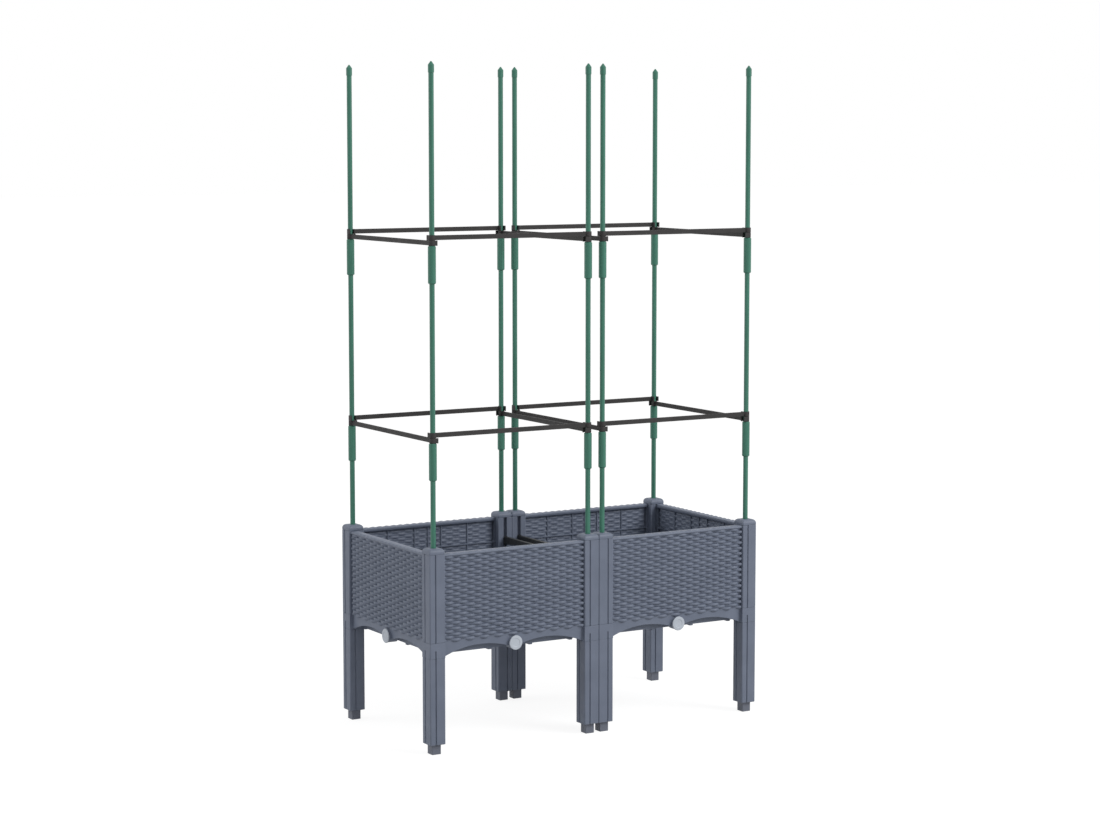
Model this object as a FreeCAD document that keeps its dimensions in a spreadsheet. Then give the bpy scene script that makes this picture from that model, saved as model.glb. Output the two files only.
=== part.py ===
import FreeCAD, Part
import os
import re
import Sketcher
from FreeCAD import Placement, Rotation, Vector

# Raised planter: two square boxes side by side on tall legs, with a trellis on the corner posts.
# Frame: origin on the floor below the middle of the footprint, +X along the long side, +Z up, -Y front.
# Box A is the left one, box B the right one. All lengths are millimetres.

SIZES = [
    ("module_side", 400, "outer side of one square box"),
    ("post_side", 35, "side of a corner post, leg, corner block and cap"),
    ("corner_round", 2.5, "rounding of the upright edges of legs and posts"),
    ("foot_side", 20.5, "side of the square peg below a leg"),
    ("foot_height", 21, "height of that peg"),
    ("foot_round", 1.2, "rounding of its upright edges"),
    ("leg_length", 177.5, "leg between peg and tray"),
    ("leg_wall", 3.2, "wall of the hollow leg"),
    ("leg_floor", 6, "closed bottom of the hollow leg"),
    ("groove_width", 2.4, "upright groove in the faces of legs and posts"),
    ("groove_depth", 2.2, "depth of that groove"),
    ("groove_offset", 4.5, "groove from the middle of its face"),
    ("block_height", 32, "corner block of the tray"),
    ("block_groove_height", 16, "height of the groove in a corner block"),
    ("spigot_length", 18, "spigot below a corner block"),
    ("spigot_fit", 0.2, "clearance of the spigot in the leg"),
    ("post_length", 180.5, "corner post between block and cap"),
    ("slot_wall", 13.6, "post wall outside a panel slot"),
    ("slot_width", 8, "panel slot of a post"),
    ("slot_depth", 8, "depth of a panel slot"),
    ("cap_height", 12, "post cap"),
    ("cap_round", 8, "rounding of the cap's top edges"),
    ("pole_diameter", 10.6, "trellis pole"),
    ("pole_length", 396, "one pole segment"),
    ("pole_fit", 0.2, "radial clearance of a pole in post, cap and tray"),
    ("pole_seat", 29.2, "pole socket in a corner block"),
    ("sleeve_diameter", 16.2, "sleeve that joins two pole segments"),
    ("sleeve_length", 76, "length of that sleeve"),
    ("sleeve_fit", 0.1, "radial clearance of a pole in sleeve and tip"),
    ("sleeve_bevel", 1.8, "bevel of the sleeve's ends"),
    ("tip_diameter", 12.4, "cap on the upper end of a pole"),
    ("tip_cover", 15.3, "pole length inside that cap"),
    ("tip_crown", 7, "closed end of that cap"),
    ("tip_flat", 2, "flat of its tapered end"),
    ("shelf_thickness", 2.5, "tray rim that carries the panels"),
    ("apron_recess", 8, "apron face behind the post face"),
    ("apron_thickness", 2.6, "wall of the apron"),
    ("arch_radius", 211, "arch in the apron's lower edge"),
    ("arch_offset", 78, "arch centre from the middle of the side"),
    ("arch_crown", 19.2, "arch crown above the bottom of the tray"),
    ("pan_recess", 24.5, "pan wall behind the post face"),
    ("pan_wall", 2.5, "wall of the water pan"),
    ("pan_lift", 5, "underside of the pan above the bottom of the tray"),
    ("pan_floor", 3, "floor of the water pan"),
    ("floor_rib_width", 8, "rib below the pan"),
    ("floor_rib_depth", 3, "depth of that rib"),
    ("floor_rib_pitch", 97, "spacing of those ribs"),
    ("boss_diameter", 28, "drain boss"),
    ("boss_height", 15, "boss axis above the bottom of the tray"),
    ("boss_recess", 2.8, "boss face behind the post face"),
    ("plug_head_diameter", 30, "head of a drain plug"),
    ("plug_head_thickness", 2.6, "thickness of that head"),
    ("plug_head_bevel", 0.8, "bevel of that head"),
    ("plug_dish_diameter", 18, "shallow dish in that head"),
    ("plug_dish_depth", 0.8, "depth of that dish"),
    ("plug_shank_diameter", 12.6, "shank of a drain plug"),
    ("plug_fit", 0.35, "radial clearance of the shank"),
    ("rest_gap", 0.2, "play between a loose piece and its seat"),
    ("panel_recess", 3, "woven face behind the post face"),
    ("panel_skin", 12.5, "woven wall, crest to crest"),
    ("panel_end_gap", 0.3, "play between panel and post"),
    ("panel_end_round", 6, "rounding of the panel's outer upright edges"),
    ("tongue_length", 7.4, "panel tongue in a post slot"),
    ("tongue_fit", 0.2, "clearance of the tongue on each side"),
    ("tongue_drop", 1, "tongue end below the top of the post"),
    ("rail_band", 5, "plain band of the top rail, outside"),
    ("rail_round", 2.4, "rounding of the top rail"),
    ("rail_plate", 3, "top of the rail"),
    ("rail_flange", 7.2, "rail flange on the inner side"),
    ("rail_flange_wall", 2.6, "thickness of that flange"),
    ("base_flange", 3, "foot of the panel"),
    ("course_pitch", 5.87, "height of one woven course"),
    ("course_groove", 4.6, "width of the groove between two courses"),
    ("course_depth", 3.5, "depth of that groove"),
    ("rib_thickness", 2.6, "rib on the inner side of a panel"),
    ("rib_pitch", 32.5, "unit of spacing of the upright ribs"),
    ("rib_recess", 3.2, "rib edge behind the rail flange"),
    ("crossrib_pitch", 45.8, "spacing of the level ribs below the rail"),
    ("tie_end_height", 18, "height of a cross tie at its ends"),
    ("tie_rise", 7.5, "cut in the underside of a cross tie"),
    ("tie_gusset", 60, "slope at each end of that cut"),
    ("tie_drop", 42, "top of the cross tie below the top of the post"),
    ("bar_thickness", 4, "strap of a trellis bar"),
    ("bar_height", 9.6, "height of that strap"),
    ("clip_height", 10.5, "U-clip at the end of a bar"),
    ("clip_radius", 7.1, "outer radius of the clip"),
    ("clip_fit", 0.35, "radial clearance of a pole in the clip"),
    ("clip_reach", 9.4, "jaws of the clip from the pole's axis"),
    ("clip_mouth", 9.2, "opening between the jaws"),
]

doc = FreeCAD.newDocument("RaisedPlanter")
sheet = doc.addObject("Spreadsheet::Sheet", "Sizes")
for row, (alias, number, meaning) in enumerate(SIZES, start=1):
    sheet.set("A%d" % row, meaning)
    sheet.set("B%d" % row, str(number))
    sheet.setAlias("B%d" % row, alias)
doc.recompute()

ALIASES = {alias for alias, number, meaning in SIZES}

# Corners and sides of a box in order, each a quarter turn on from the one before it
CORNERS = ("front_left", "front_right", "back_right", "back_left")
SIDES = ("front", "right", "back", "left")
BOXES = ("a", "b")
WALLED_SIDES = {"a": ("front", "back", "left"), "b": ("front", "back", "right")}
MIRRORED_CORNERS = {("a", "back_right"), ("b", "front_left")}

# Two lengths are taken as equal within a ten-thousandth of the side of a box
TOUCH = float(sheet.get("module_side")) / 10000

# Heights above the floor, as sums of the driving sizes
TRAY_BASE = "foot_height + leg_length"
TRAY_TOP = TRAY_BASE + " + block_height"
POST_TOP = TRAY_TOP + " + post_length"
POLE_BASE = TRAY_TOP + " - pole_seat"
POST_AXIS = "(module_side / 2 - post_side / 2)"
PANEL_INNER = "(slot_wall + slot_width - tongue_fit)"
PANEL_HALF = "(module_side / 2 - post_side - panel_end_gap)"


def size(text):
    """Points every alias in a formula at the spreadsheet."""
    return re.sub(r"[a-z_]+", lambda word: "Sizes." + word[0] if word[0] in ALIASES else word[0], text)


def value(text):
    """Present value of a formula."""
    return float(sheet.evalExpression(text))


def new_body(name):
    return doc.addObject("PartDesign::Body", name)


def origin_item(body, role):
    return next(item for item in body.Origin.OriginFeatures if item.Role == role)


def new_sketch(body, name, role="XY_Plane", lift=None):
    sketch = body.newObject("Sketcher::SketchObject", name)
    sketch.AttachmentSupport = [(origin_item(body, role), "")]
    sketch.MapMode = "FlatFace"
    if lift is not None:
        sketch.setExpression(".AttachmentOffset.Base.z", size(lift))
    return sketch


def bind_constraint(sketch, constraint, text):
    number = sketch.addConstraint(constraint)
    sketch.setExpression("Constraints[%d]" % number, size(text))


def hold_point(sketch, item, point, x, y):
    """Holds one point of a sketch at bound distances from the sketch origin."""
    bind_constraint(sketch, Sketcher.Constraint("DistanceX", -1, 1, item, point, value(x)), x)
    bind_constraint(sketch, Sketcher.Constraint("DistanceY", -1, 1, item, point, value(y)), y)


def polygon(sketch, corners):
    """Closed outline whose corners are formulas."""
    first = sketch.GeometryCount
    count = len(corners)
    points = [Vector(value(x), value(y), 0) for x, y in corners]
    for step in range(count):
        sketch.addGeometry(Part.LineSegment(points[step], points[(step + 1) % count]), False)
    for step in range(count):
        follower = first + (step + 1) % count
        sketch.addConstraint(Sketcher.Constraint("Coincident", first + step, 2, follower, 1))
    for step, (x, y) in enumerate(corners):
        hold_point(sketch, first + step, 1, x, y)


def rectangle(sketch, left, low, right, high):
    """Rectangle between four formulas."""
    polygon(sketch, [(left, low), (right, low), (right, high), (left, high)])


def square(sketch, side):
    half = "(%s) / 2" % side
    rectangle(sketch, "-" + half, "-" + half, half, half)


def circle(sketch, x, y, radius):
    centre = Vector(value(x), value(y), 0)
    item = sketch.addGeometry(Part.Circle(centre, Vector(0, 0, 1), value(radius)), False)
    hold_point(sketch, item, 3, x, y)
    bind_constraint(sketch, Sketcher.Constraint("Radius", item, value(radius)), radius)


def pad(body, sketch, length, reverse=False, both_ways=False):
    feature = body.newObject("PartDesign::Pad", sketch.Name + "_pad")
    feature.Profile = sketch
    feature.setExpression("Length", size(length))
    feature.Reversed = reverse
    feature.SideType = "Symmetric" if both_ways else "One side"
    doc.recompute()
    return feature


def pocket(body, sketch, length, reverse=False, both_ways=False):
    before = body.Shape.Volume
    feature = body.newObject("PartDesign::Pocket", sketch.Name + "_pocket")
    feature.Profile = sketch
    feature.setExpression("Length", size(length))
    feature.Reversed = reverse
    feature.SideType = "Symmetric" if both_ways else "One side"
    doc.recompute()
    if body.Shape.Volume >= before:
        raise RuntimeError("%s cuts nothing" % feature.Name)
    return feature


def round_edges(body, name, radius, wanted):
    """Rounds the edges of the present solid that the given test picks."""
    base = body.Tip
    edges = ["Edge%d" % number for number, edge in enumerate(base.Shape.Edges, start=1) if wanted(edge)]
    feature = body.newObject("PartDesign::Fillet", name)
    feature.Base = (base, edges)
    feature.setExpression("Radius", size(radius))
    doc.recompute()
    return feature


def turn_round(body, profile):
    """Turns a half outline about the upright axis of its sketch."""
    turning = body.newObject("PartDesign::Revolution", profile.Name + "_turning")
    turning.Profile = profile
    turning.ReferenceAxis = (profile, ["V_Axis"])
    turning.Angle = 360
    doc.recompute()


def turned_pattern(body, name, features, angle, count):
    """Repeats features round the upright axis."""
    pattern = body.newObject("PartDesign::PolarPattern", name)
    pattern.Originals = features
    pattern.Axis = (origin_item(body, "Z_Axis"), [""])
    pattern.Angle = angle
    pattern.Occurrences = count
    body.Tip = pattern
    doc.recompute()
    return pattern


def is_upright(edge):
    box = edge.BoundBox
    return box.XLength < TOUCH and box.YLength < TOUCH and box.ZLength > TOUCH


def level_at(height):
    """Test for edges that lie level at a height."""
    def test(edge):
        box = edge.BoundBox
        return abs(box.ZMin - height) < TOUCH and abs(box.ZMax - height) < TOUCH
    return test


def is_corner(edge):
    """Test for edges that rise, straight or slanting, along a corner of a square piece."""
    box = edge.BoundBox
    return box.ZLength > TOUCH and abs(box.XLength - box.YLength) < TOUCH


def signs(place):
    """Direction of a corner or side from the middle of its box, along X and Y."""
    return ("right" in place) - ("left" in place), ("back" in place) - ("front" in place)


def turned(corners, quarters):
    """Outline turned by quarters about the sketch origin."""
    for step in range(quarters):
        corners = [("-(%s)" % y, x) for x, y in corners]
    return corners


def grooves(sketch, hand, faces, x="0", y="0"):
    """Upright grooves, off the middle of faces of a square column at x, y; faces count in quarter turns."""
    left = "%d * groove_offset - groove_width / 2" % -hand
    right = "%d * groove_offset + groove_width / 2" % -hand
    outside = "-(post_side / 2 + groove_depth)"
    floor = "-(post_side / 2 - groove_depth)"
    section = [(left, outside), (right, outside), (right, floor), (left, floor)]
    for face in faces:
        polygon(sketch, [("%s + %s" % (x, u), "%s + %s" % (y, v)) for u, v in turned(section, face)])


def make_leg(name, hand):
    """Hollow square leg on a smaller foot peg, grooved on all four faces."""
    body = new_body(name)
    shaft = new_sketch(body, name + "_shaft")
    square(shaft, "post_side")
    pad(body, shaft, "leg_length")
    round_edges(body, name + "_rounding", "corner_round", is_upright)
    peg = new_sketch(body, name + "_peg")
    square(peg, "foot_side")
    pad(body, peg, "foot_height", reverse=True)
    round_edges(body, name + "_peg_rounding", "foot_round",
                lambda edge: is_upright(edge) and edge.BoundBox.ZMax < TOUCH)
    hollow = new_sketch(body, name + "_hollow", lift="leg_length")
    square(hollow, "post_side - 2 * leg_wall")
    pocket(body, hollow, "leg_length - leg_floor")
    groove = new_sketch(body, name + "_grooves")
    grooves(groove, hand, (0, 1, 2, 3))
    pocket(body, groove, "leg_length", reverse=True)
    return body


def make_post(name, hand):
    """Front left corner post: panel slots to the right and back, grooves outside, bore for the pole."""
    body = new_body(name)
    column = new_sketch(body, name + "_column")
    square(column, "post_side")
    pad(body, column, "post_length")
    round_edges(body, name + "_rounding", "corner_round", is_upright)
    slots = new_sketch(body, name + "_slots")
    near = "slot_wall - post_side / 2"
    far = "slot_wall + slot_width - post_side / 2"
    floor = "post_side / 2 - slot_depth"
    rectangle(slots, floor, near, "post_side", far)
    rectangle(slots, near, floor, far, "post_side")
    pocket(body, slots, "post_length", reverse=True)
    groove = new_sketch(body, name + "_grooves")
    grooves(groove, hand, (0, 3))
    pocket(body, groove, "post_length", reverse=True)
    bore = new_sketch(body, name + "_bore")
    circle(bore, "0", "0", "pole_diameter / 2 + pole_fit")
    pocket(body, bore, "post_length", reverse=True)
    return body


def make_cap():
    """Pillow-shaped post cap with a hole for the pole."""
    body = new_body("cap")
    block = new_sketch(body, "cap_block")
    square(block, "post_side")
    pad(body, block, "cap_height")
    round_edges(body, "cap_dome", "cap_round", level_at(value("cap_height")))
    round_edges(body, "cap_corners", "corner_round", is_corner)
    bore = new_sketch(body, "cap_bore")
    circle(bore, "0", "0", "pole_diameter / 2 + pole_fit")
    pocket(body, bore, "cap_height", reverse=True)
    return body


def make_tray():
    """Tray of box B: corner blocks, rim, water pan with ribs, arched aprons and drain bosses."""
    body = new_body("tray")
    half = "module_side / 2"
    block_edge = "(module_side / 2 - post_side)"

    # Water pan: floor and walls
    floor = new_sketch(body, "tray_floor", lift="pan_lift")
    square(floor, "module_side - 2 * pan_recess")
    pad(body, floor, "pan_floor")
    wall = new_sketch(body, "tray_wall", lift="pan_lift")
    square(wall, "module_side - 2 * pan_recess")
    square(wall, "module_side - 2 * pan_recess - 2 * pan_wall")
    pad(body, wall, "block_height - pan_lift")

    # Rim that carries the panels, with a lip on the open side that meets the other tray
    rim = new_sketch(body, "tray_rim", lift="block_height - shelf_thickness")
    square(rim, "module_side - 2 * apron_recess")
    square(rim, "module_side - 2 * pan_recess - 2 * pan_wall")
    pad(body, rim, "shelf_thickness")
    lip = new_sketch(body, "tray_lip", lift="block_height - shelf_thickness")
    rectangle(lip, "-" + half, "-" + block_edge, "-(%s - apron_recess)" % half, block_edge)
    pad(body, lip, "shelf_thickness")

    # Corner blocks and the spigots for the legs
    block = new_sketch(body, "tray_block")
    rectangle(block, block_edge, block_edge, half, half)
    blocks = [pad(body, block, "block_height")]
    spigot = new_sketch(body, "tray_spigot")
    reach = "(post_side / 2 - leg_wall - spigot_fit)"
    rectangle(spigot, POST_AXIS + " - " + reach, POST_AXIS + " - " + reach,
              POST_AXIS + " + " + reach, POST_AXIS + " + " + reach)
    blocks.append(pad(body, spigot, "spigot_length", reverse=True))
    turned_pattern(body, "tray_blocks", blocks, 360, 4)
    outline = value(half)
    round_edges(body, "tray_rounding", "corner_round",
                lambda edge: is_upright(edge) and abs(abs(edge.BoundBox.XMin) - outline) < TOUCH
                and abs(abs(edge.BoundBox.YMin) - outline) < TOUCH)

    # Ribs below the pan, in both directions
    ribs = new_sketch(body, "tray_ribs", lift="pan_lift - floor_rib_depth")
    inner = "(%s - pan_recess)" % half
    count = int(value("(2 * %s - floor_rib_width) / floor_rib_pitch" % inner)) + 1
    for step in range(count):
        middle = "(%d - %d) / 2 * floor_rib_pitch" % (2 * step, count - 1)
        left = middle + " - floor_rib_width / 2"
        right = middle + " + floor_rib_width / 2"
        rectangle(ribs, left, "-" + inner, right, inner)
    lengthways = pad(body, ribs, "floor_rib_depth")
    turned_pattern(body, "tray_crossed_ribs", [lengthways], 90, 2)

    # Apron with two arches and a drain boss, on four sides
    apron = new_sketch(body, "tray_apron", "XZ_Plane", "module_side / 2 - apron_recess - apron_thickness")
    rectangle(apron, "-" + block_edge, "0", block_edge, "block_height")
    skirt = [pad(body, apron, "apron_thickness")]
    for side in ("-1", "1"):
        arch = new_sketch(body, "tray_arch", "XZ_Plane", "module_side / 2 - apron_recess")
        circle(arch, side + " * arch_offset", "arch_crown - arch_radius", "arch_radius")
        skirt.append(pocket(body, arch, "apron_thickness"))
    boss = new_sketch(body, "tray_boss", "XZ_Plane", "module_side / 2 - boss_recess")
    circle(boss, "0", "boss_height", "boss_diameter / 2")
    skirt.append(pad(body, boss, "pan_recess - boss_recess", reverse=True))
    turned_pattern(body, "tray_skirt", skirt, 360, 4)

    # Drain holes on the three outer sides
    hole = new_sketch(body, "tray_drain", "XZ_Plane", "module_side / 2 - boss_recess")
    circle(hole, "0", "boss_height", "plug_shank_diameter / 2 + plug_fit")
    drain = pocket(body, hole, "pan_recess + pan_wall - boss_recess")
    turned_pattern(body, "tray_drains", [drain], 180, 3)

    # Pole sockets and grooves of the corner blocks
    socket = new_sketch(body, "tray_socket", lift="block_height")
    groove = new_sketch(body, "tray_grooves")
    for quarters, corner in enumerate(CORNERS):
        x, y = ["%d * %s" % (sign, POST_AXIS) for sign in signs(corner)]
        circle(socket, x, y, "pole_diameter / 2 + pole_fit")
        grooves(groove, hand_of("b", corner), (quarters, (quarters + 3) % 4), x, y)
    pocket(body, socket, "pole_seat")
    pocket(body, groove, "block_groove_height", reverse=True)
    return body


def make_panel():
    """Wall panel: woven wall in level courses, flanged top rail, ribs behind and end tongues."""
    body = new_body("panel")
    skin = "(panel_recess + panel_skin)"
    under_rail = "(post_length - rail_plate)"
    flange = "(%s - rail_flange_wall)" % PANEL_INNER
    section = new_sketch(body, "panel_section", "YZ_Plane")
    polygon(section, [("panel_recess", "0"), (PANEL_INNER, "0"), (PANEL_INNER, "base_flange"),
                      (skin, "base_flange"), (skin, under_rail), (flange, under_rail),
                      (flange, "post_length - rail_flange"), (PANEL_INNER, "post_length - rail_flange"),
                      (PANEL_INNER, "post_length"), ("panel_recess", "post_length")])
    pad(body, section, "2 * " + PANEL_HALF, both_ways=True)
    front = value("panel_recess")
    round_edges(body, "panel_sides", "panel_end_round",
                lambda edge: is_upright(edge) and abs(edge.BoundBox.YMin - front) < TOUCH)
    on_top = level_at(value("post_length"))
    round_edges(body, "panel_rail", "rail_round",
                lambda edge: on_top(edge) and edge.BoundBox.XLength > TOUCH)

    # Grooves between the woven courses, on both faces
    web = "(%s - course_depth)" % skin
    course = new_sketch(body, "panel_course", "YZ_Plane")
    polygon(course, [("panel_recess", "course_pitch - course_groove / 2"),
                     ("panel_recess + course_depth", "course_pitch"),
                     ("panel_recess", "course_pitch + course_groove / 2")])
    polygon(course, [(skin, "course_pitch - course_groove / 2"), (web, "course_pitch"),
                     (skin, "course_pitch + course_groove / 2")])
    first = pocket(body, course, "2 * " + PANEL_HALF, both_ways=True)
    count = "floor((post_length - rail_band - course_groove / 2) / course_pitch)"
    weave = body.newObject("PartDesign::LinearPattern", "panel_weave")
    weave.Originals = [first]
    weave.Direction = (origin_item(body, "Z_Axis"), [""])
    weave.setExpression("Length", size("(%s - 1) * course_pitch" % count))
    weave.setExpression("Occurrences", size(count))
    body.Tip = weave
    doc.recompute()

    # Ribs and end walls on the inner side
    rib_edge = "(%s - rib_recess)" % PANEL_INNER
    uprights = new_sketch(body, "panel_uprights")
    for place in ("-3", "-1", "0", "1", "3"):
        middle = place + " * rib_pitch"
        left = middle + " - rib_thickness / 2"
        right = middle + " + rib_thickness / 2"
        rectangle(uprights, left, web, right, rib_edge)
    pad(body, uprights, under_rail)
    levels = new_sketch(body, "panel_levels", "YZ_Plane")
    for place in ("1", "2", "3"):
        height = "post_length - rail_flange - %s * crossrib_pitch" % place
        rectangle(levels, web, height + " - rib_thickness", rib_edge, height)
    pad(body, levels, "2 * " + PANEL_HALF, both_ways=True)
    ends = new_sketch(body, "panel_ends")
    rectangle(ends, "-" + PANEL_HALF, web, "-(%s - rib_thickness)" % PANEL_HALF, PANEL_INNER)
    rectangle(ends, "%s - rib_thickness" % PANEL_HALF, web, PANEL_HALF, PANEL_INNER)
    pad(body, ends, under_rail)

    # Tongues that slide into the post slots
    tongues = new_sketch(body, "panel_tongues")
    near = "slot_wall + tongue_fit"
    rectangle(tongues, "-(%s + tongue_length)" % PANEL_HALF, near, "-" + PANEL_HALF, PANEL_INNER)
    rectangle(tongues, PANEL_HALF, near, "%s + tongue_length" % PANEL_HALF, PANEL_INNER)
    pad(body, tongues, "post_length - tongue_drop")
    return body


def make_plug():
    """Drain plug: dished head outside, shank through the boss to the inside of the pan."""
    body = new_body("plug")
    profile = new_sketch(body, "plug_profile")
    shank = "plug_shank_diameter / 2"
    head = "plug_head_diameter / 2"
    face = "-(rest_gap + plug_head_thickness)"
    dish = "plug_dish_diameter / 2"
    polygon(profile, [("0", "pan_recess + pan_wall - boss_recess"),
                      (shank, "pan_recess + pan_wall - boss_recess"), (shank, "-rest_gap"),
                      (head, "-rest_gap"), (head, face + " + plug_head_bevel"),
                      (head + " - plug_head_bevel", face), (dish, face),
                      (dish + " - plug_dish_depth", face + " + plug_dish_depth"),
                      ("0", face + " + plug_dish_depth")])
    turn_round(body, profile)
    return body


def make_tie():
    """Cross tie: strap whose ends hang in the post slots, slimmer between two sloping ends."""
    body = new_body("tie")
    strap = new_sketch(body, "tie_strap", "YZ_Plane")
    root = "(module_side / 2 - post_side)"
    reach = "(%s + slot_depth - rest_gap)" % root
    slim = "(%s - tie_gusset)" % root
    polygon(strap, [("-" + reach, "0"), ("-" + root, "0"), ("-" + slim, "tie_rise"), (slim, "tie_rise"),
                    (root, "0"), (reach, "0"), (reach, "tie_end_height"), ("-" + reach, "tie_end_height")])
    pad(body, strap, "slot_width - 2 * rest_gap", both_ways=True)
    return body


def make_bar():
    """Trellis bar: strap between two poles with a U-clip at each end, open to the inside."""
    body = new_body("bar")
    strap = new_sketch(body, "bar_strap", lift="(clip_height - bar_height) / 2")
    rectangle(strap, "-" + POST_AXIS, "-bar_thickness / 2", POST_AXIS, "bar_thickness / 2")
    pad(body, strap, "bar_height")
    rounds = new_sketch(body, "bar_rounds")
    jaws = new_sketch(body, "bar_jaws")
    bores = new_sketch(body, "bar_bores")
    mouths = new_sketch(body, "bar_mouths")
    for side in ("-1", "1"):
        axis = "%s * %s" % (side, POST_AXIS)
        circle(rounds, axis, "0", "clip_radius")
        rectangle(jaws, axis + " - clip_radius", "0", axis + " + clip_radius", "clip_reach")
        circle(bores, axis, "0", "pole_diameter / 2 + clip_fit")
        half_mouth = "clip_mouth / 2"
        rectangle(mouths, axis + " - " + half_mouth, "0", axis + " + " + half_mouth, "2 * clip_reach")
    pad(body, rounds, "clip_height")
    pad(body, jaws, "clip_height")
    pocket(body, bores, "clip_height", reverse=True)
    pocket(body, mouths, "clip_height", reverse=True)
    return body


def make_sleeve():
    """Sleeve with bevelled ends, turned about the pole's axis."""
    body = new_body("sleeve")
    profile = new_sketch(body, "sleeve_profile", "XZ_Plane")
    bore = "pole_diameter / 2 + sleeve_fit"
    outer = "sleeve_diameter / 2"
    end = outer + " - sleeve_bevel"
    polygon(profile, [(bore, "0"), (end, "0"), (outer, "sleeve_bevel"),
                      (outer, "sleeve_length - sleeve_bevel"), (end, "sleeve_length"),
                      (bore, "sleeve_length")])
    turn_round(body, profile)
    return body


def make_tip():
    """Pole tip: a cup with a tapered closed end, its seat on the pole at height 0."""
    body = new_body("tip")
    profile = new_sketch(body, "tip_profile", "XZ_Plane")
    bore = "pole_diameter / 2 + sleeve_fit"
    outer = "tip_diameter / 2"
    polygon(profile, [("0", "0"), (bore, "0"), (bore, "-tip_cover"), (outer, "-tip_cover"),
                      (outer, "0"), ("tip_flat / 2", "tip_crown"), ("0", "tip_crown")])
    turn_round(body, profile)
    return body


def place(item, x, y, z, quarters=0):
    """Sets an object at bound coordinates, turned by quarters about the upright axis."""
    item.Placement = Placement(Vector(0, 0, 0), Rotation(Vector(0, 0, 1), 90 * quarters))
    for axis, text in zip("xyz", (x, y, z)):
        item.setExpression(".Placement.Base." + axis, size(text))


def copy_of(master, name, x, y, z, quarters=0):
    """One more piece from the same mould, at its own place."""
    body = new_body(name)
    base = body.newObject("PartDesign::FeatureBase", name + "_base")
    base.BaseFeature = master
    body.Tip = base
    body.Label = name
    place(body, x, y, z, quarters)
    return body


def make_pole(name, x, y, z):
    pole = doc.addObject("Part::Cylinder", name)
    pole.setExpression("Radius", size("pole_diameter / 2"))
    pole.setExpression("Height", size("pole_length"))
    place(pole, x, y, z)
    return pole


def box_centre(box):
    return "-module_side / 2" if box == "a" else "module_side / 2"


def hand_of(box, corner):
    """Left or right hand of the groove at a corner."""
    return -1 if (box, corner) in MIRRORED_CORNERS else 1


def place_at(box, spot, reach=POST_AXIS):
    """Formulas for a corner or side of a box, at a distance along X and Y from the middle of the box."""
    sign_x, sign_y = signs(spot)
    return "%s + %d * (%s)" % (box_centre(box), sign_x, reach), "%d * (%s)" % (sign_y, reach)


def group(name, members):
    """Separate equal solids that share one name."""
    compound = doc.addObject("Part::Compound", name)
    compound.Links = members
    compound.Label = name
    return compound


def all_corners():
    return [(box, corner) for box in BOXES for corner in CORNERS]


def build():
    """Makes every piece and returns those that are written, with the solids in each."""
    pieces = []
    tray = make_tray()
    for box in BOXES:
        half_turn = 2 if box == "a" else 0
        pieces.append((copy_of(tray, "tray_" + box, box_centre(box), "0", TRAY_BASE, half_turn), 1))

    legs = {hand: make_leg("leg_%s" % word, hand) for hand, word in ((1, "mould"), (-1, "mirrored"))}
    posts = {hand: make_post("post_%s" % word, hand) for hand, word in ((1, "mould"), (-1, "mirrored"))}
    for box, corner in all_corners():
        hand = hand_of(box, corner)
        x, y = place_at(box, corner)
        quarters = CORNERS.index(corner)
        tag = "%s_%s" % (box, corner)
        pieces.append((copy_of(legs[hand], "leg_" + tag, x, y, "foot_height", quarters), 1))
        pieces.append((copy_of(posts[hand], "post_" + tag, x, y, TRAY_TOP, quarters), 1))

    panel = make_panel()
    plug = make_plug()
    for box, sides in WALLED_SIDES.items():
        for side in sides:
            quarters = SIDES.index(side)
            x, y = place_at(box, side, "module_side / 2")
            pieces.append((copy_of(panel, "panel_%s_%s" % (box, side), x, y, TRAY_TOP, quarters), 1))
            x, y = place_at(box, side, "module_side / 2 - boss_recess")
            height = TRAY_BASE + " + boss_height"
            pieces.append((copy_of(plug, "drain_plug_%s_%s" % (box, side), x, y, height, quarters), 1))

    tie = make_tie()
    for box, open_side in (("a", "right"), ("b", "left")):
        x, y = place_at(box, open_side, "module_side / 2 - slot_wall - slot_width / 2")
        height = POST_TOP + " - tie_drop - tie_end_height"
        pieces.append((copy_of(tie, "cross_tie_" + box, x, y, height), 1))

    bar = make_bar()
    for box in BOXES:
        for level, storey in enumerate(("lower", "upper"), start=1):
            seat = "%s + %d * pole_length + sleeve_length / 2 + rest_gap" % (POLE_BASE, level)
            for quarters, side in enumerate(SIDES):
                height = seat + (" + clip_height + rest_gap" if side in ("front", "back") else "")
                x, y = place_at(box, side)
                name = "bar_%s_%s_%s" % (box, storey, side)
                pieces.append((copy_of(bar, name, x, y, height, quarters), 1))

    for step, storey in enumerate(("lower", "middle", "upper")):
        height = "%s + %d * pole_length" % (POLE_BASE, step)
        poles = [make_pole("%s_pole_%s_%s" % (storey, box, corner), *place_at(box, corner), height)
                 for box, corner in all_corners()]
        pieces.append((group(storey + "_poles", poles), len(poles)))

    sleeve = make_sleeve()
    repeats = [("post_caps", make_cap(), POST_TOP),
               ("lower_sleeves", sleeve, POLE_BASE + " + pole_length - sleeve_length / 2"),
               ("upper_sleeves", sleeve, POLE_BASE + " + 2 * pole_length - sleeve_length / 2"),
               ("pole_tips", make_tip(), POLE_BASE + " + 3 * pole_length")]
    for name, master, height in repeats:
        members = [copy_of(master, "%s_%s_%s" % (name, box, corner), *place_at(box, corner), height)
                   for box, corner in all_corners()]
        pieces.append((group(name, members), len(members)))
    doc.recompute()
    return pieces


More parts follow.
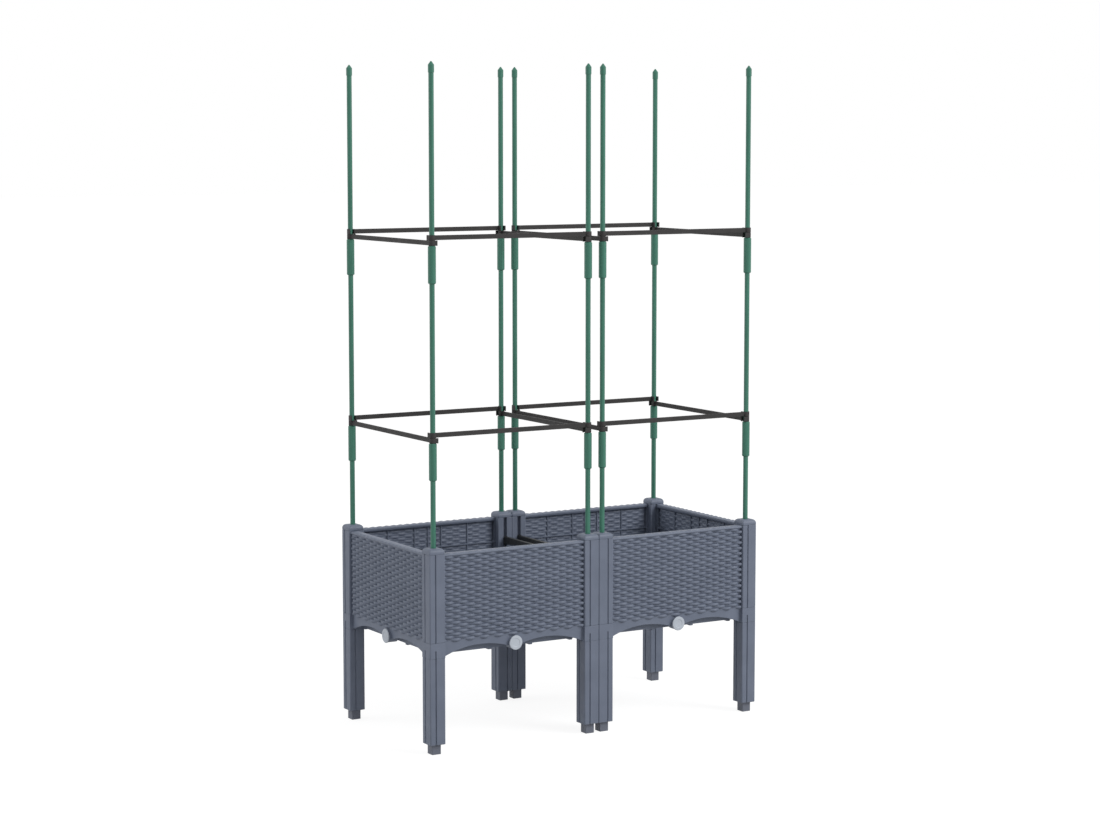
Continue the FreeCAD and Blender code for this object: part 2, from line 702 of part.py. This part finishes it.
def check(pieces):
    """Stops before anything is written if an object failed or a piece isn't what it should be."""
    failed = [item.Name for item in doc.Objects if "Invalid" in item.State or "Error" in item.State]
    if failed:
        raise RuntimeError("failed objects: " + ", ".join(failed))
    for piece, solids in pieces:
        shape = piece.Shape
        if shape.isNull() or not shape.isValid() or len(shape.Solids) != solids:
            raise RuntimeError("bad shape: " + piece.Label)


pieces = build()
check(pieces)
os.makedirs("parts", exist_ok=True)
for piece, solids in pieces:
    piece.Shape.exportStep(os.path.join("parts", piece.Label + ".step"))
whole = Part.makeCompound([piece.Shape for piece, solids in pieces]).BoundBox
print("nodes", len(pieces), "box %.1f x %.1f x %.1f" % (whole.XLength, whole.YLength, whole.ZLength))
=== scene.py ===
import math

import bpy
import numpy as np
from mathutils import Matrix, Vector


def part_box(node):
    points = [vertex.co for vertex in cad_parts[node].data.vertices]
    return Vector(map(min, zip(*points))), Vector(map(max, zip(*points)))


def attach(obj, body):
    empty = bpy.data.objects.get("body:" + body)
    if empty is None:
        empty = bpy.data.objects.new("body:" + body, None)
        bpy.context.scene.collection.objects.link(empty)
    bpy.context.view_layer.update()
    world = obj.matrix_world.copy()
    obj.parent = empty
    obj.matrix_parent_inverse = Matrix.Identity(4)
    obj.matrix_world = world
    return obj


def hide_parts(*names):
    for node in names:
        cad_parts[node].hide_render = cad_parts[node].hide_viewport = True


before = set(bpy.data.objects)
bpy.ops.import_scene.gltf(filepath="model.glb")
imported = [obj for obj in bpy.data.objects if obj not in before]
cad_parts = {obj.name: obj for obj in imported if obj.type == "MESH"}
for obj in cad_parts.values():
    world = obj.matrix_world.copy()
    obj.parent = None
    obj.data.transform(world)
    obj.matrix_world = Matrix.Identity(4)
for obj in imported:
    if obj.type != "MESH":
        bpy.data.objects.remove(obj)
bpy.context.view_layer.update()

# Raised planter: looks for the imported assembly. Frame: +X along the long side, +Z up, -Y front. Metres.
MM = 0.001
WHITE = (1, 1, 1, 1)

# Camera, in the frame of a picture of 1100 by 824 pixels, with its angles in degrees
IMAGE_WIDTH = 1100
FOCAL_PIXELS = 2570.4
SENSOR_WIDTH = 36
CAMERA_PLACE = (-2.7911, -4.7057, 1.2661)
CAMERA_YAW = 30.666
CAMERA_PITCH = 6.079
CAMERA_SHIFT = -0.01

# Light: even surround, key from the front right, fill from the back left
SURROUND_STRENGTH = 0.62
LAMP_TARGET = (0, 0, 0.5)
LAMP_SIZE = 3
KEY_PLACE = (3.2, -4.6, 4.2)
KEY_POWER = 250
FILL_PLACE = (-4.5, 2.6, 2.8)
FILL_POWER = 60

# Floor: grey levels of its tone, glow shown to the camera and the share of that glow
FLOOR_REACH = 40
FLOOR_TONES = (0.48, 0.52)
FLOOR_ROUGH = 0.9
FLOOR_GLOW = 1.48
FLOOR_GLOW_SHARE = 0.6

# Display colours of each finish, dark and light
PLANTER_GREYS = ((98, 106, 123), (106, 114, 131))
PLUG_GREYS = ((176, 183, 193), (188, 195, 205))
BAR_BLACKS = ((49, 48, 48), (57, 55, 55))
# Cross ties: the bars' black made darker as painted shade, standing for the shade inside the box
TIE_BLACKS_PAINTED_SHADE = ((33, 35, 36), (40, 42, 43))
POLE_GREENS = ((44, 103, 85), (56, 118, 99))

# Roughness of each finish, how far it strays, and the bars' lower shine
PLANTER_ROUGH = 0.55
PLUG_ROUGH = 0.48
BAR_ROUGH = 0.6
TIE_ROUGH = 0.5
POLE_ROUGH = (0.34, 0.46)
SMOOTHER = 0.05
ROUGHER = 0.07
BAR_SHINE = 0.25

# Noise of the finishes: scale and detail
CLOUDS = (22, 4)
PLASTIC_GLOSS = (70, 3)
SATIN_GRAIN = (2600, 2)
SINK_WAVES = (45, 1)
DRAWN_TONE = (260, 3)
POLE_GLOSS = (120, 2)
DRAWN_STREAKS = (420, 2)
KNOTS = (55, 1)
FLOOR_CLOUDS = (3, 2)

# Scale of the drawn noise along the axes, drawn out along the pole
TONE_AXES = (1, 1, 0.04)
STREAK_AXES = (1, 1, 0.08)

# Bump of the finishes: strength and depth
GRAIN_BUMP = (0.12, 0.1 * MM)
SINK_BUMP = (0.05, 0.4 * MM)
STREAK_BUMP = (0.12, 0.15 * MM)
KNOT_BUMP = (0.2, 0.4 * MM)

# Peg below a leg, darker in tone: its top, the width of the blend there and the darker colour it is
# multiplied by
FOOT_HEIGHT = 21 * MM
FOOT_BLEND = 0.6 * MM
FOOT_SHADE = (0.94, 0.88, 0.82, 1)

# Softened edges of the CAD pieces, by the first word of a node's name
SOFT_EDGES = {"tray": 0.6 * MM, "post": 1 * MM, "leg": 1 * MM,
              "drain": 0.3 * MM, "bar": 0.4 * MM, "cross": 0.6 * MM}
EDGE_SEGMENTS = 2
EDGE_ANGLE = math.radians(40)
FLAT_ANGLE = math.radians(0.5)
WELD_REACH = 0.01 * MM

# Woven wall: stakes and courses
STAKE_PITCH = 16.65 * MM
COURSE_PITCH = 5.87 * MM
COURSE_COUNT = 30
FIRST_COURSE = 2.3 * MM
FIRST_CREST = 28 * MM
STRAND_HALF = 3.4 * MM
OUTER_WAVE = 2.7 * MM
OUTER_RISE = 2.9 * MM
INNER_WAVE = 1 * MM
INNER_RISE = 1.5 * MM
CREST_RECESS = 3 * MM
INNER_CREST = 15.5 * MM

# Mesh of the weave: steps along and up, rows of a course as shares of the way to the next strand's end
STEPS_PER_STAKE = 8
OUTER_ROWS = (-1.02, -0.98, -0.65, -0.33, 0, 0.33, 0.65, 0.98, 1.02)
ROW_MARGIN = 0.2 * MM
INNER_STEPS_PER_COURSE = 4
SHARP_ANGLE = math.radians(48)

# Ends of a wall panel, with the mesh steps there as shares of the end wall
PANEL_GAP = 0.3 * MM
END_ROUND = 0.8 * MM
END_WALL = 1.3 * MM
END_STEPS = (0.1, 0.25, 0.5, 0.75, 0.999, 1.001)
INNER_REVEAL = 4.5 * MM

# Skirt below the shelf
SKIRT_DROP = 1.9 * MM
SCALLOP = 3.8 * MM
SCALLOP_FADE = 5 * MM
SKIRT_BACK = 7.8 * MM

# Rail: bead from its foot over to its top in degrees, plate, rounded inner edge and flanges
BEAD_RADIUS = 3.1 * MM
BEAD_BUMP = 0.6 * MM
BEAD_LAP = 0.5 * MM
BEAD_START = 250
BEAD_END = 90
BEAD_POINTS = 9
PLATE = 3 * MM
RAIL_ROUND = 1.8 * MM
RAIL_ROUND_MIDDLE = 0.5 * MM
FLANGE_DROP = 7.2 * MM
FLANGE_WALL = 2.6 * MM
BASE_FLANGE = 3 * MM
EDGE = 0.6 * MM

# Ribs behind the weave, and the tongues that slide into the posts
RIB = 2.6 * MM
UPRIGHT_RECESS = 5 * MM
LEVEL_RECESS = 3.2 * MM
UPRIGHT_PITCH = 32.5 * MM
UPRIGHT_RIBS = [place * UPRIGHT_PITCH for place in (-3, -1, 0, 1, 3)]
LEVEL_PITCH = 45.8 * MM
LEVEL_RIBS = [FLANGE_DROP + step * LEVEL_PITCH for step in (1, 2, 3)]
TONGUE = 7.4 * MM
TONGUE_NEAR = 13.8 * MM

# Sides of a box by quarter turns from the front, and the walled sides of both boxes
SIDES = ("front", "right", "back", "left")
WALLED_SIDES = {"a": ("front", "back", "left"), "b": ("front", "back", "right")}


def srgb(red, green, blue):
    """Linear colour of a display colour given in 0 to 255."""
    def linear(level):
        share = level / 255
        return share / 12.92 if share <= 0.04045 else ((share + 0.055) / 1.055) ** 2.4
    return (linear(red), linear(green), linear(blue), 1)


def grey(level):
    return (level, level, level, 1)


def new_material(name):
    material = bpy.data.materials.new(name)
    material.use_nodes = True
    tree = material.node_tree
    return material, tree, tree.nodes["Principled BSDF"]


def noise(tree, scale, detail, axes=(1, 1, 1)):
    """Noise in object space; axes multiplies its scale along each axis."""
    place = tree.nodes.new("ShaderNodeTexCoord")
    mapping = tree.nodes.new("ShaderNodeMapping")
    mapping.inputs["Scale"].default_value = axes
    tree.links.new(place.outputs["Object"], mapping.inputs["Vector"])
    texture = tree.nodes.new("ShaderNodeTexNoise")
    texture.inputs["Scale"].default_value = scale
    texture.inputs["Detail"].default_value = detail
    tree.links.new(mapping.outputs["Vector"], texture.inputs["Vector"])
    return texture.outputs["Fac"]


def ramp(tree, factor, low, high, start=0.3, end=0.7):
    """Blend of two colours, or two grey levels, along a factor."""
    blend = tree.nodes.new("ShaderNodeValToRGB")
    first, last = blend.color_ramp.elements
    first.position = start
    last.position = end
    first.color = low
    last.color = high
    tree.links.new(factor, blend.inputs["Fac"])
    return blend.outputs["Color"]


def bump(tree, shader, height, strength, depth):
    """Adds one layer of bump on top of the layers that are there already."""
    node = tree.nodes.new("ShaderNodeBump")
    node.inputs["Strength"].default_value = strength
    node.inputs["Distance"].default_value = depth
    tree.links.new(height, node.inputs["Height"])
    for link in list(shader.inputs["Normal"].links):
        tree.links.new(link.from_socket, node.inputs["Normal"])
    tree.links.new(node.outputs["Normal"], shader.inputs["Normal"])


def shaded_below(tree, tone, level, blend, shade):
    """A tone that is multiplied by a shade below a level of the object."""
    place = tree.nodes.new("ShaderNodeTexCoord")
    split = tree.nodes.new("ShaderNodeSeparateXYZ")
    tree.links.new(place.outputs["Object"], split.inputs["Vector"])
    cover = ramp(tree, split.outputs["Z"], shade, WHITE, level - blend / 2, level + blend / 2)
    mix = tree.nodes.new("ShaderNodeMix")
    mix.data_type = "RGBA"
    mix.blend_type = "MULTIPLY"
    mix.inputs["Factor"].default_value = 1
    tree.links.new(tone, mix.inputs["A"])
    tree.links.new(cover, mix.inputs["B"])
    return mix.outputs["Result"]


def moulded_plastic(name, colours, rough, shine=0.5, darker_foot=False):
    """Moulded plastic: cloudy tone, fine satin grain and faint sink waves."""
    material, tree, shader = new_material(name)
    dark, light = [srgb(*colour) for colour in colours]
    tone = ramp(tree, noise(tree, *CLOUDS), dark, light)
    if darker_foot:
        tone = shaded_below(tree, tone, FOOT_HEIGHT, FOOT_BLEND, FOOT_SHADE)
    tree.links.new(tone, shader.inputs["Base Color"])
    gloss = ramp(tree, noise(tree, *PLASTIC_GLOSS), grey(rough - SMOOTHER), grey(rough + ROUGHER))
    tree.links.new(gloss, shader.inputs["Roughness"])
    shader.inputs["Specular IOR Level"].default_value = shine
    bump(tree, shader, noise(tree, *SATIN_GRAIN), *GRAIN_BUMP)
    bump(tree, shader, noise(tree, *SINK_WAVES), *SINK_BUMP)
    return material


def coated_pole():
    """Green plastic coat with drawing streaks along the pole and faint knots."""
    material, tree, shader = new_material("pole_coat")
    dark, light = [srgb(*colour) for colour in POLE_GREENS]
    tone = ramp(tree, noise(tree, *DRAWN_TONE, TONE_AXES), dark, light)
    tree.links.new(tone, shader.inputs["Base Color"])
    low, high = [grey(rough) for rough in POLE_ROUGH]
    gloss = ramp(tree, noise(tree, *POLE_GLOSS), low, high)
    tree.links.new(gloss, shader.inputs["Roughness"])
    bump(tree, shader, noise(tree, *DRAWN_STREAKS, STREAK_AXES), *STREAK_BUMP)
    bump(tree, shader, noise(tree, *KNOTS), *KNOT_BUMP)
    return material


def soften(piece, width):
    """Rounds the edges of a CAD piece, on flats that are free of triangles."""
    weld = piece.modifiers.new("weld", "WELD")
    weld.merge_threshold = WELD_REACH
    flats = piece.modifiers.new("flats", "DECIMATE")
    flats.decimate_type = "DISSOLVE"
    flats.angle_limit = FLAT_ANGLE
    bevel = piece.modifiers.new("soft_edges", "BEVEL")
    bevel.width = width
    bevel.segments = EDGE_SEGMENTS
    bevel.use_clamp_overlap = False
    bevel.limit_method = "ANGLE"
    bevel.angle_limit = EDGE_ANGLE
    bevel.harden_normals = True


def dress_nodes(finishes):
    """Gives each CAD node the finish and the softened edges of its kind."""
    for node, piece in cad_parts.items():
        kind = node.split("_")[0]
        if kind not in finishes:
            continue
        for slot in piece.material_slots:
            slot.material = finishes[kind]
        if kind in SOFT_EDGES:
            soften(piece, SOFT_EDGES[kind])


def wave(along, course):
    """Weave of one course: 1 where it passes in front of a stake, -1 where it passes behind."""
    return np.cos(math.pi * ((along - FIRST_CREST) / STAKE_PITCH + course % 2))


def fall(along, height, face, swing, crest):
    """How far a woven face lies behind its crests; face is 1 outside and -1 inside."""
    nearest = np.round((height - FIRST_COURSE) / COURSE_PITCH)
    rise = np.full(np.broadcast(along, height).shape, -swing)
    for step in (-1, 0, 1):
        course = np.clip(nearest + step, 0, COURSE_COUNT - 1)
        reach = (height - FIRST_COURSE - course * COURSE_PITCH) / STRAND_HALF
        crown = np.sqrt(np.clip(1 - reach ** 2, 0, 1))
        strand = face * swing * wave(along, course) + crest * crown
        rise = np.maximum(rise, np.where(np.abs(reach) < 1, strand, -swing))
    return swing + crest - rise


def end_drop(from_end, radius):
    """How far the rounded end of a panel falls back from its face."""
    share = np.clip(1 - from_end / radius, 0, 1)
    return radius * (1 - np.sqrt(1 - share ** 2))


def even_rows(low, high, step):
    """Heights of the inner mesh rows."""
    return np.linspace(low, high, int(round(abs(high - low) / step)) + 1)


def course_rows(low, high):
    """Heights of the outer mesh rows, in pairs where the next course's strand ends."""
    strand_end = COURSE_PITCH - STRAND_HALF
    courses = FIRST_COURSE + COURSE_PITCH * np.arange(-1, COURSE_COUNT + 1)
    heights = np.add.outer(courses, strand_end * np.array(OUTER_ROWS)).ravel()
    inside = heights[(heights > low + ROW_MARGIN) & (heights < high - ROW_MARGIN)]
    return np.concatenate([[low], inside, [high]])


def panel_sections(along, length, inner, top):
    """Closed outlines of a wall panel at each place along it: depth behind the post face, and height."""
    place = along[:, None]
    from_end = np.minimum(place, length - place)
    drop = end_drop(from_end, END_ROUND)

    # Outer face: skirt and woven courses
    outer_z = course_rows(-SKIRT_DROP, top - 2 * BEAD_RADIUS + BEAD_LAP)[None, :]
    scallop = SCALLOP * (1 - wave(place, 0)) / 2
    outer_z = outer_z + scallop * np.clip(1 - (outer_z + SKIRT_DROP) / SCALLOP_FADE, 0, 1)
    outer_d = CREST_RECESS + fall(place, outer_z, 1, OUTER_WAVE, OUTER_RISE) + drop
    outer_d = np.where(outer_z < EDGE, np.minimum(outer_d, SKIRT_BACK - EDGE), outer_d)

    # Bead of the rail, with a bump over each stake
    turn = np.radians(np.linspace(BEAD_START, BEAD_END, BEAD_POINTS))[None, :]
    swell = BEAD_BUMP * np.cos(2 * math.pi * (place - FIRST_CREST) / STAKE_PITCH)
    bead_d = CREST_RECESS + BEAD_RADIUS * (1 + np.cos(turn)) + drop
    bead_z = top - BEAD_RADIUS + BEAD_RADIUS * np.sin(turn) + swell * np.clip(np.sin(turn), 0, 1)

    # Top of the rail and its inner flange
    flange_low = top - FLANGE_DROP
    flange_back = inner - FLANGE_WALL
    flange = [(inner - RAIL_ROUND, top),
              (inner - RAIL_ROUND_MIDDLE, top - RAIL_ROUND_MIDDLE),
              (inner, top - RAIL_ROUND),
              (inner, flange_low + EDGE),
              (inner - EDGE, flange_low),
              (flange_back + EDGE, flange_low),
              (flange_back, flange_low + EDGE),
              (flange_back, top - PLATE)]

    # Inner face, and the foot that stands on the shelf
    inner_z = even_rows(top - PLATE, BASE_FLANGE, COURSE_PITCH / INNER_STEPS_PER_COURSE)[None, :]
    inner_d = INNER_CREST - fall(place, inner_z, -1, INNER_WAVE, INNER_RISE)
    inner_d = inner_d - end_drop(from_end - END_WALL, INNER_REVEAL)
    inner_d = np.where(from_end < END_WALL, flange_back - EDGE, inner_d)
    foot = [(inner - EDGE, BASE_FLANGE), (inner, BASE_FLANGE - EDGE), (inner, 0), (SKIRT_BACK, 0)]

    outline = [(outer_d, outer_z), (bead_d, bead_z), *flange, (inner_d, inner_z), *foot,
               (SKIRT_BACK, scallop - SKIRT_DROP)]
    ones = np.ones_like(place)
    depths = np.hstack([ones * depth for depth, height in outline])
    heights = np.hstack([ones * height for depth, height in outline])
    return depths, heights


def block(low, high):
    """Corners and faces of an upright block."""
    corners = [(x, y, z) for z in (low[2], high[2]) for y in (low[1], high[1]) for x in (low[0], high[0])]
    faces = [(0, 2, 3, 1), (4, 5, 7, 6), (0, 1, 5, 4), (2, 6, 7, 3), (0, 4, 6, 2), (1, 3, 7, 5)]
    return corners, faces


def panel_blocks(half, inner, top):
    """Ribs behind the weave and the tongues that slide into the posts."""
    front = INNER_CREST - 2 * (INNER_WAVE + INNER_RISE)
    under_plate = top - PLATE / 2
    blocks = []
    for place in UPRIGHT_RIBS:
        blocks.append(block((place - RIB / 2, front, BASE_FLANGE / 2),
                            (place + RIB / 2, inner - UPRIGHT_RECESS, under_plate)))
    for drop in LEVEL_RIBS:
        blocks.append(block((-half + RIB / 2, front, top - drop - RIB),
                            (half - RIB / 2, inner - LEVEL_RECESS, top - drop)))
    for left, right in ((-half - TONGUE, -half + RIB / 2), (half - RIB / 2, half + TONGUE)):
        blocks.append(block((left, TONGUE_NEAR, EDGE), (right, inner - EDGE, under_plate)))
    return blocks


def panel_mesh(half, inner, top):
    """Mesh of one wall panel: +X along it, +Y inwards from the post face, +Z up from the shelf."""
    length = 2 * half
    steps = int(round(length / STAKE_PITCH * STEPS_PER_STAKE))
    ends = np.array(END_STEPS) * END_WALL
    along = np.sort(np.concatenate([np.linspace(0, length, steps + 1), ends, length - ends]))
    depth, height = panel_sections(along, length, inner, top)
    count, loop = depth.shape
    points = np.stack([np.broadcast_to(along[:, None] - half, depth.shape), depth, height], axis=-1)
    vertices = [tuple(point) for point in points.reshape(-1, 3)]

    # Skin between neighbouring outlines, both ends, then the blocks
    faces = []
    for row in range(count - 1):
        this = row * loop
        following = this + loop
        for spot in range(loop):
            beside = (spot + 1) % loop
            faces.append((this + spot, following + spot, following + beside, this + beside))
    faces.append(tuple(range(loop)))
    faces.append(tuple(reversed(range((count - 1) * loop, count * loop))))
    for corners, sides in panel_blocks(half, inner, top):
        faces += [tuple(len(vertices) + corner for corner in side) for side in sides]
        vertices += corners

    mesh = bpy.data.meshes.new("woven_panel")
    mesh.from_pydata(vertices, [], faces)
    mesh.polygons.foreach_set("use_smooth", [True] * len(mesh.polygons))
    mesh.set_sharp_from_angle(angle=SHARP_ANGLE)
    mesh.validate()
    return mesh


def woven_panels(material):
    """A woven panel in the place of each CAD wall panel."""
    tray_low, tray_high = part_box("tray_a")
    post_low, post_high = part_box("post_a_front_left")
    panel_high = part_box("panel_a_front")[1]
    shelf = post_low.z
    side = (tray_high.x - tray_low.x) / 2
    half = side - (post_high.x - post_low.x) - PANEL_GAP
    mesh = panel_mesh(half, panel_high.y - tray_low.y, panel_high.z - shelf)
    mesh.materials.append(material)
    for box, sides in WALLED_SIDES.items():
        low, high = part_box("tray_" + box)
        centre = Vector(((low.x + high.x) / 2, 0, shelf))
        for name in sides:
            turn = Matrix.Rotation(math.radians(90) * SIDES.index(name), 4, "Z")
            piece = bpy.data.objects.new("woven_panel_%s_%s" % (box, name), mesh)
            bpy.context.scene.collection.objects.link(piece)
            piece.matrix_world = Matrix.Translation(centre) @ turn @ Matrix.Translation((0, -side, 0))
            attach(piece, "planter")
            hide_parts("panel_%s_%s" % (box, name))


def add_camera():
    data = bpy.data.cameras.new("camera")
    data.sensor_width = SENSOR_WIDTH
    data.lens = SENSOR_WIDTH * FOCAL_PIXELS / IMAGE_WIDTH
    data.shift_y = CAMERA_SHIFT
    camera = bpy.data.objects.new("camera", data)
    camera.location = CAMERA_PLACE
    camera.rotation_euler = (math.radians(90 - CAMERA_PITCH), 0, math.radians(-CAMERA_YAW))
    bpy.context.scene.collection.objects.link(camera)
    bpy.context.scene.camera = camera


def seen_rays(tree):
    """1 for the rays that show a backdrop: straight, mirrored and through glass."""
    path = tree.nodes.new("ShaderNodeLightPath")
    total = path.outputs["Is Camera Ray"]
    for name in ("Is Glossy Ray", "Is Transmission Ray"):
        add = tree.nodes.new("ShaderNodeMath")
        add.operation = "ADD"
        add.use_clamp = True
        tree.links.new(total, add.inputs[0])
        tree.links.new(path.outputs[name], add.inputs[1])
        total = add.outputs["Value"]
    return total


def light_world():
    """Even white surround: white to the camera, a plain level of light to the object."""
    world = bpy.data.worlds.new("surround")
    bpy.context.scene.world = world
    world.use_nodes = True
    tree = world.node_tree
    lit = tree.nodes["Background"]
    lit.inputs["Color"].default_value = WHITE
    lit.inputs["Strength"].default_value = SURROUND_STRENGTH
    shown = tree.nodes.new("ShaderNodeBackground")
    shown.inputs["Color"].default_value = WHITE
    shown.inputs["Strength"].default_value = 1
    mix = tree.nodes.new("ShaderNodeMixShader")
    tree.links.new(seen_rays(tree), mix.inputs["Fac"])
    tree.links.new(lit.outputs["Background"], mix.inputs[1])
    tree.links.new(shown.outputs["Background"], mix.inputs[2])
    tree.links.new(mix.outputs["Shader"], tree.nodes["World Output"].inputs["Surface"])


def area_light(name, place, power):
    """Square lamp that points at the planter."""
    data = bpy.data.lights.new(name, "AREA")
    data.shape = "SQUARE"
    data.size = LAMP_SIZE
    data.energy = power
    lamp = bpy.data.objects.new(name, data)
    lamp.location = place
    lamp.rotation_euler = (Vector(LAMP_TARGET) - Vector(place)).to_track_quat("-Z", "Y").to_euler()
    bpy.context.scene.collection.objects.link(lamp)


def add_floor():
    """Pale floor that keeps a faint shadow and is white to the camera elsewhere."""
    mesh = bpy.data.meshes.new("floor")
    corners = [(FLOOR_REACH * x, FLOOR_REACH * y, 0) for x, y in ((-1, -1), (1, -1), (1, 1), (-1, 1))]
    mesh.from_pydata(corners, [], [(0, 1, 2, 3)])
    material, tree, shader = new_material("pale_floor")
    shader.inputs["Roughness"].default_value = FLOOR_ROUGH
    shader.inputs["Specular IOR Level"].default_value = 0
    dark, light = [grey(level) for level in FLOOR_TONES]
    tone = ramp(tree, noise(tree, *FLOOR_CLOUDS), dark, light)
    tree.links.new(tone, shader.inputs["Base Color"])
    glow = tree.nodes.new("ShaderNodeEmission")
    glow.inputs["Strength"].default_value = FLOOR_GLOW
    mix = tree.nodes.new("ShaderNodeMixShader")
    share = tree.nodes.new("ShaderNodeMath")
    share.operation = "MULTIPLY"
    share.inputs[1].default_value = FLOOR_GLOW_SHARE
    tree.links.new(seen_rays(tree), share.inputs[0])
    tree.links.new(share.outputs["Value"], mix.inputs["Fac"])
    tree.links.new(shader.outputs["BSDF"], mix.inputs[1])
    tree.links.new(glow.outputs["Emission"], mix.inputs[2])
    tree.links.new(mix.outputs["Shader"], tree.nodes["Material Output"].inputs["Surface"])
    mesh.materials.append(material)
    floor = bpy.data.objects.new("floor", mesh)
    bpy.context.scene.collection.objects.link(floor)


def build():
    """Finishes by the first word of a node's name, then the woven panels."""
    planter = moulded_plastic("planter_plastic", PLANTER_GREYS, PLANTER_ROUGH)
    leg = moulded_plastic("leg_plastic", PLANTER_GREYS, PLANTER_ROUGH, darker_foot=True)
    plug = moulded_plastic("plug_plastic", PLUG_GREYS, PLUG_ROUGH)
    bar = moulded_plastic("bar_plastic", BAR_BLACKS, BAR_ROUGH, shine=BAR_SHINE)
    # Cross ties: the bars' plastic with painted shade darkening its colour
    tie = moulded_plastic("tie_plastic_painted_shade", TIE_BLACKS_PAINTED_SHADE, TIE_ROUGH)
    green = coated_pole()
    dress_nodes({"tray": planter, "post": planter, "leg": leg, "drain": plug, "bar": bar, "cross": tie,
                 "lower": green, "middle": green, "upper": green, "pole": green})
    woven_panels(planter)


build()
add_camera()
light_world()
area_light("key", KEY_PLACE, KEY_POWER)
area_light("fill", FILL_PLACE, FILL_POWER)
add_floor()
bpy.context.scene.view_settings.view_transform = "Standard"
